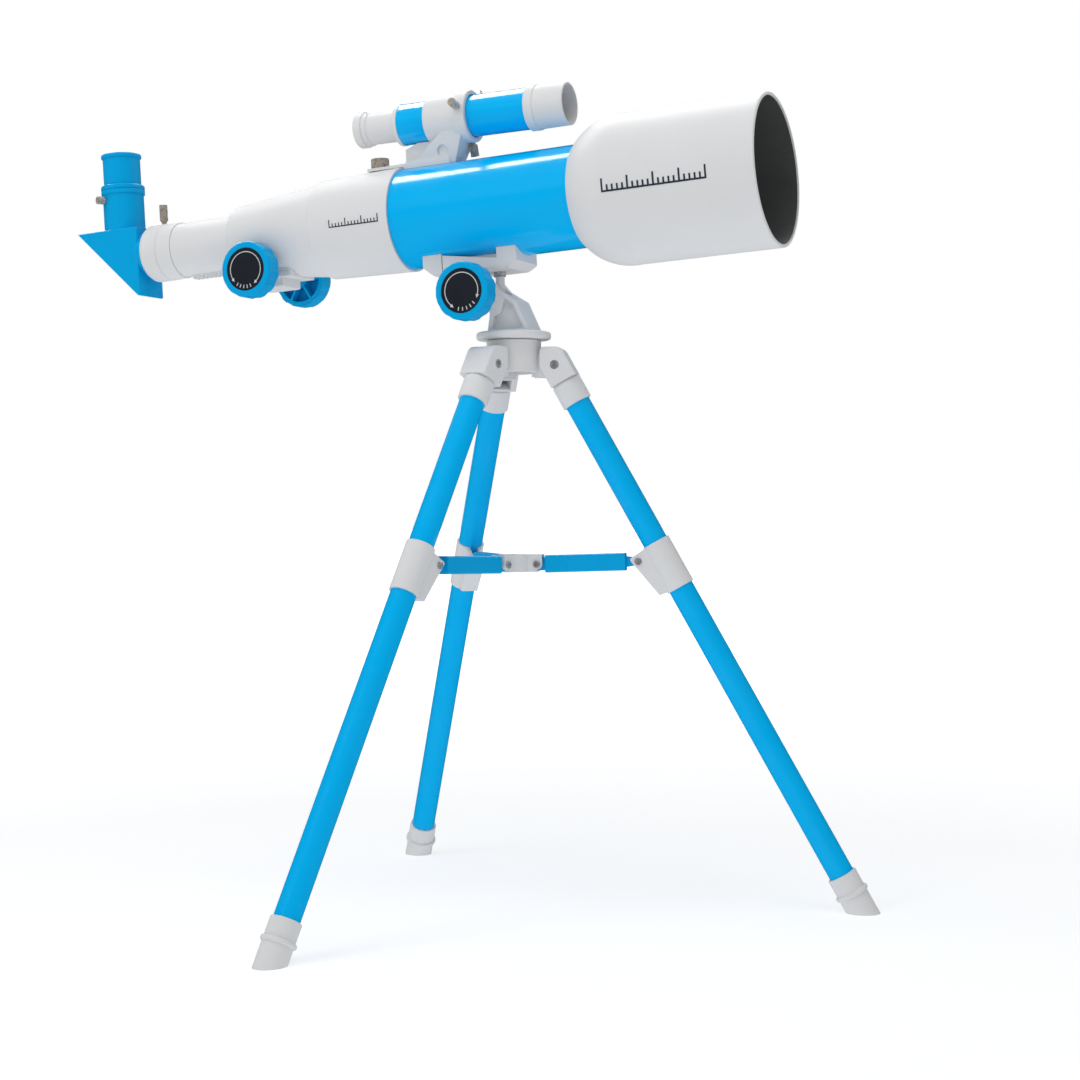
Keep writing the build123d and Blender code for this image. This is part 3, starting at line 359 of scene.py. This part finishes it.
def add_shield_liner():
    """Dark matt coat on the inside of the dew shield and its shoulder."""
    mouth = mount("dew_shield_mouth")
    radius = mouth["dims"]["r_mm"] * MM - LINER_GAP
    length = mouth["dims"]["length_mm"] * MM
    start = (Vector(mouth["pos_m"]) - tube_zero()).dot(ALONG) - length / 2 + LINER_GAP
    end = start + length - LINER_MOUTH_GAP
    stations = [(start, radius * LINER_SHOULDER), (start, radius), (end, radius)]
    verts, faces = [], []
    for i in range(LINER_STEPS):
        for x, station_radius in stations:
            verts.append(tube_point(x, station_radius, math.tau * i / LINER_STEPS))
    for i in range(LINER_STEPS):
        here, there = len(stations) * i, len(stations) * ((i + 1) % LINER_STEPS)
        for k in range(len(stations) - 1):
            faces.append((here + k, here + k + 1, there + k + 1, there + k))
    new_piece("shield_liner", verts, faces, MATERIALS["black_plastic"], "tube")


def disc_frame(node, side):
    """Middle of a knob disc's outer face, with its right and up directions seen from outside."""
    low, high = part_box(node)
    centre = (low + high) / 2
    centre.y = low.y - INK_RAISE if side < 0 else high.y + INK_RAISE
    return centre, -side * ALONG, ABOVE


def disc_patches(centre, right, up, rings):
    """Vertices and faces of (radius0, radius1, turn0, turn1) ring patches on a flat disc."""
    verts, faces = [], []
    for radius0, radius1, turn0, turn1 in rings:
        steps = max(1, round((turn1 - turn0) / math.radians(3)))
        start = len(verts)
        for i in range(steps + 1):
            turn = turn0 + (turn1 - turn0) * i / steps
            way = math.cos(turn) * right + math.sin(turn) * up
            verts += [centre + radius0 * way, centre + radius1 * way]
        for i in range(steps):
            a = start + 2 * i
            faces.append((a, a + 1, a + 3, a + 2))
    return verts, faces


def arrow_head(centre, right, up, turn, sense):
    """Small triangle at one end of the curved arrow."""
    out = math.cos(turn) * right + math.sin(turn) * up
    on = sense * (-math.sin(turn) * right + math.cos(turn) * up)
    base = centre + ARC_R * out
    return [base - ARROW_HALF * out, base + ARROW_HALF * out, base + ARROW_REACH * on]


def add_disc_marks(name, node, side, arc, body):
    """Curved double arrow with a few ticks in its gap, printed on a knob disc."""
    centre, right, up = disc_frame(node, side)
    start, end = math.radians(arc[0]), math.radians(arc[1])
    inner, outer = ARC_R - ARC_WIDTH / 2, ARC_R + ARC_WIDTH / 2
    rings = [(inner, outer, start, end)]
    gap = math.tau - (end - start)
    half = TICK_HALF_WIDTH / ARC_R
    for i in range(TICK_COUNT):
        turn = end + gap * (0.25 + 0.5 * i / (TICK_COUNT - 1))
        rings.append((ARC_R - TICK_HALF_REACH, ARC_R + TICK_HALF_REACH, turn - half, turn + half))
    verts, faces = disc_patches(centre, right, up, rings)
    for turn, sense in ((start, -1), (end, 1)):
        first = len(verts)
        verts += arrow_head(centre, right, up, turn, sense)
        faces.append((first, first + 1, first + 2))
    new_piece(name, verts, faces, MATERIALS["pale_ink"], body)


def add_knob_marks():
    """Curved arrows on the angle knob and on the outer faces of both focus knobs."""
    add_disc_marks("angle_marks", "angle_knob_disc", -1, ANGLE_ARC, "angle_knob")
    add_disc_marks("focus_marks_near", "focus_knob_discs", -1, FOCUS_ARC, "focus")
    add_disc_marks("focus_marks_far", "focus_knob_discs", 1, FOCUS_ARC, "focus")


# ---- studio ----
def add_floor():
    """Wide pale floor that fades into the white backdrop."""
    mesh = bpy.data.meshes.new("floor")
    form = bmesh.new()
    bmesh.ops.create_grid(form, x_segments=4, y_segments=4, size=FLOOR_HALF)
    form.to_mesh(mesh)
    form.free()
    floor = bpy.data.objects.new("floor", mesh)
    bpy.context.collection.objects.link(floor)
    maker = Maker("floor")
    cloud = maker.spread(maker.noise(3, 1.0), 0, 1)
    ground = maker.mix(cloud, (0.60, 0.62, 0.64, 1), (0.62, 0.63, 0.65, 1))
    maker.join(ground, maker.shader.inputs["Base Color"])
    maker.shader.inputs["Roughness"].default_value = 0.8
    maker.set(specular=0.0)
    maker.shader.inputs["Emission Color"].default_value = (1, 1, 1, 1)
    distance = maker.add("ShaderNodeVectorMath", operation="LENGTH")
    maker.join(maker.coordinates, distance.inputs[0])
    seen = maker.nodes.new("ShaderNodeMapRange")
    seen.inputs["From Min"].default_value = FLOOR_NEAR
    seen.inputs["From Max"].default_value = FLOOR_FAR
    seen.inputs["To Min"].default_value = FLOOR_GLOW_SEEN
    seen.inputs["To Max"].default_value = 1.0
    maker.join(distance.outputs["Value"], seen.inputs["Value"])
    path = maker.nodes.new("ShaderNodeLightPath")
    glow = maker.nodes.new("ShaderNodeMapRange")
    glow.inputs["To Min"].default_value = FLOOR_GLOW
    maker.join(seen.outputs["Result"], glow.inputs["To Max"])
    maker.join(path.outputs["Is Camera Ray"], glow.inputs["Value"])
    maker.join(glow.outputs[0], maker.shader.inputs["Emission Strength"])
    mesh.materials.append(maker.material)
    floor.visible_glossy = False


def add_area_light(name, place, target, width, height, power, colour):
    light = bpy.data.lights.new(name, "AREA")
    light.shape = "RECTANGLE"
    light.size = width
    light.size_y = height
    light.energy = power
    light.color = colour
    lamp = bpy.data.objects.new(name, light)
    lamp.location = place
    lamp.rotation_euler = (Vector(target) - Vector(place)).to_track_quat("-Z", "Y").to_euler()
    bpy.context.collection.objects.link(lamp)
    return lamp


def view_axes():
    """Camera right, away and up, level with the floor."""
    right = Vector((math.cos(VIEW_TURN), math.sin(VIEW_TURN), 0))
    away = Vector((-math.sin(VIEW_TURN), math.cos(VIEW_TURN), 0))
    return right, away, Vector((0, 0, 1))


def add_lights():
    """Soft light from above, a long strip seen only in reflections, and a weak front fill."""
    centre = middle("cradle")
    right, away, up = view_axes()
    top = centre - 0.2 * right - 0.45 * away + 1.3 * up
    lamp = add_area_light("top", top, centre, width=1.6, height=1.0, power=9, colour=WHITE)
    lamp.visible_glossy = False
    strip = centre + 0.55 * away + 1.05 * up
    lamp = add_area_light("strip", strip, centre, width=2.2, height=0.8, power=85, colour=WHITE)
    lamp.visible_diffuse = False
    front = centre - 1.3 * right - 1.2 * away + 0.9 * up
    lamp = add_area_light("front", front, centre, width=0.8, height=0.8, power=5, colour=FRONT_COLOUR)
    lamp.visible_glossy = False


def set_world():
    """White to the camera, a soft sky from horizon to zenith for light, and left out of reflections."""
    world = bpy.data.worlds.new("studio")
    world.use_nodes = True
    nodes, links = world.node_tree.nodes, world.node_tree.links
    seen = nodes["Background"]
    seen.inputs["Color"].default_value = (1, 1, 1, 1)
    sky = nodes.new("ShaderNodeBackground")
    sky.inputs["Color"].default_value = (0.97, 0.99, 1.0, 1)
    direction = nodes.new("ShaderNodeTexCoord").outputs["Generated"]
    height = nodes.new("ShaderNodeSeparateXYZ")
    links.new(direction, height.inputs[0])
    gradient = nodes.new("ShaderNodeMapRange")
    gradient.inputs["To Min"].default_value = HORIZON_LIGHT
    gradient.inputs["To Max"].default_value = ZENITH_LIGHT
    links.new(height.outputs["Z"], gradient.inputs["Value"])
    links.new(gradient.outputs[0], sky.inputs["Strength"])
    path = nodes.new("ShaderNodeLightPath")
    choice = nodes.new("ShaderNodeMixShader")
    links.new(path.outputs["Is Camera Ray"], choice.inputs[0])
    links.new(sky.outputs[0], choice.inputs[1])
    links.new(seen.outputs[0], choice.inputs[2])
    links.new(choice.outputs[0], nodes["World Output"].inputs["Surface"])
    world.cycles_visibility.glossy = False
    bpy.context.scene.world = world


def add_camera():
    hub = middle("azimuth_bolt")
    right, away, up = view_axes()
    place = Vector((hub.x, hub.y, 0)) + CAMERA_RIGHT * right - CAMERA_BACK * away + CAMERA_HEIGHT * up
    forward = math.cos(CAMERA_DOWN) * away - math.sin(CAMERA_DOWN) * up
    level_up = math.cos(CAMERA_DOWN) * up + math.sin(CAMERA_DOWN) * away
    across = math.cos(CAMERA_ROLL) * right + math.sin(CAMERA_ROLL) * level_up
    top = math.cos(CAMERA_ROLL) * level_up - math.sin(CAMERA_ROLL) * right
    data = bpy.data.cameras.new("camera")
    data.lens = LENS_MM
    data.sensor_width = SENSOR_MM
    data.clip_end = CAMERA_REACH
    camera = bpy.data.objects.new("camera", data)
    turn = Matrix((across, top, -forward)).transposed().to_4x4()
    camera.matrix_world = Matrix.Translation(place) @ turn
    bpy.context.collection.objects.link(camera)
    bpy.context.scene.camera = camera


dress_cad_nodes()
add_prints()
add_shield_liner()
add_knob_marks()
add_floor()
add_lights()
set_world()
add_camera()
bpy.context.scene.view_settings.view_transform = "Standard"
